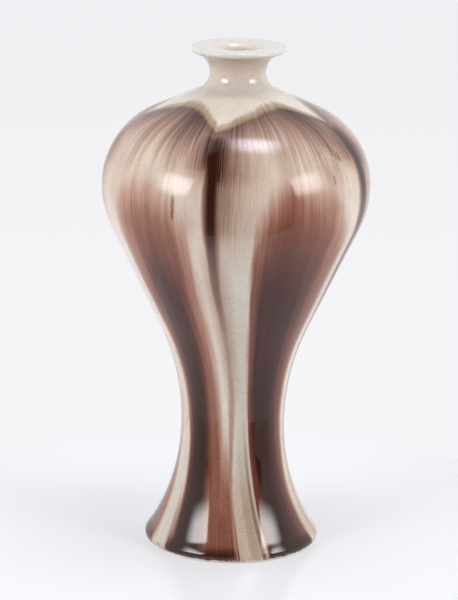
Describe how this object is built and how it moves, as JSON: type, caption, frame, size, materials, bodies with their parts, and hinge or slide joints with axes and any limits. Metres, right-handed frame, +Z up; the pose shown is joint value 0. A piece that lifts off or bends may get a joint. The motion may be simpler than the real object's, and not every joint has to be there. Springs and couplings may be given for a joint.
{
  "type": "meiping vase",
  "caption": "Tall high-shouldered vase with a narrow neck, small flat lip and flared foot, glazed ivory with brown runs, for a flower stem or a branch.",
  "frame": {"origin": "on the vase's axis, in the plane that the foot ring stands on", "axes": "+Z up along the vase's axis, -Y towards the front, +X to the right seen from the front"},
  "size_m": [0.1586, 0.1586, 0.3],
  "materials": {
    "biscuit_clay": "fired, bare",
    "joint_slip": "fired, bare",
    "ivory_glaze": "gloss",
    "brown_glaze": "gloss"
  },
  "bodies": {
    "root": {"base_glaze": "ivory_glaze", "belly_slip": "joint_slip", "brown_run_back": "brown_glaze", "brown_run_front_left": "brown_glaze", "brown_run_front_right": "brown_glaze", "brown_run_left_back": "brown_glaze", "brown_run_right_back": "brown_glaze", "foot_section": "biscuit_clay", "ivory_glaze": "ivory_glaze", "lower_body": "biscuit_clay", "neck_and_lip": "biscuit_clay", "neck_slip": "joint_slip", "shoulder": "biscuit_clay", "waist_slip": "joint_slip"}
  },
  "joints": []
}
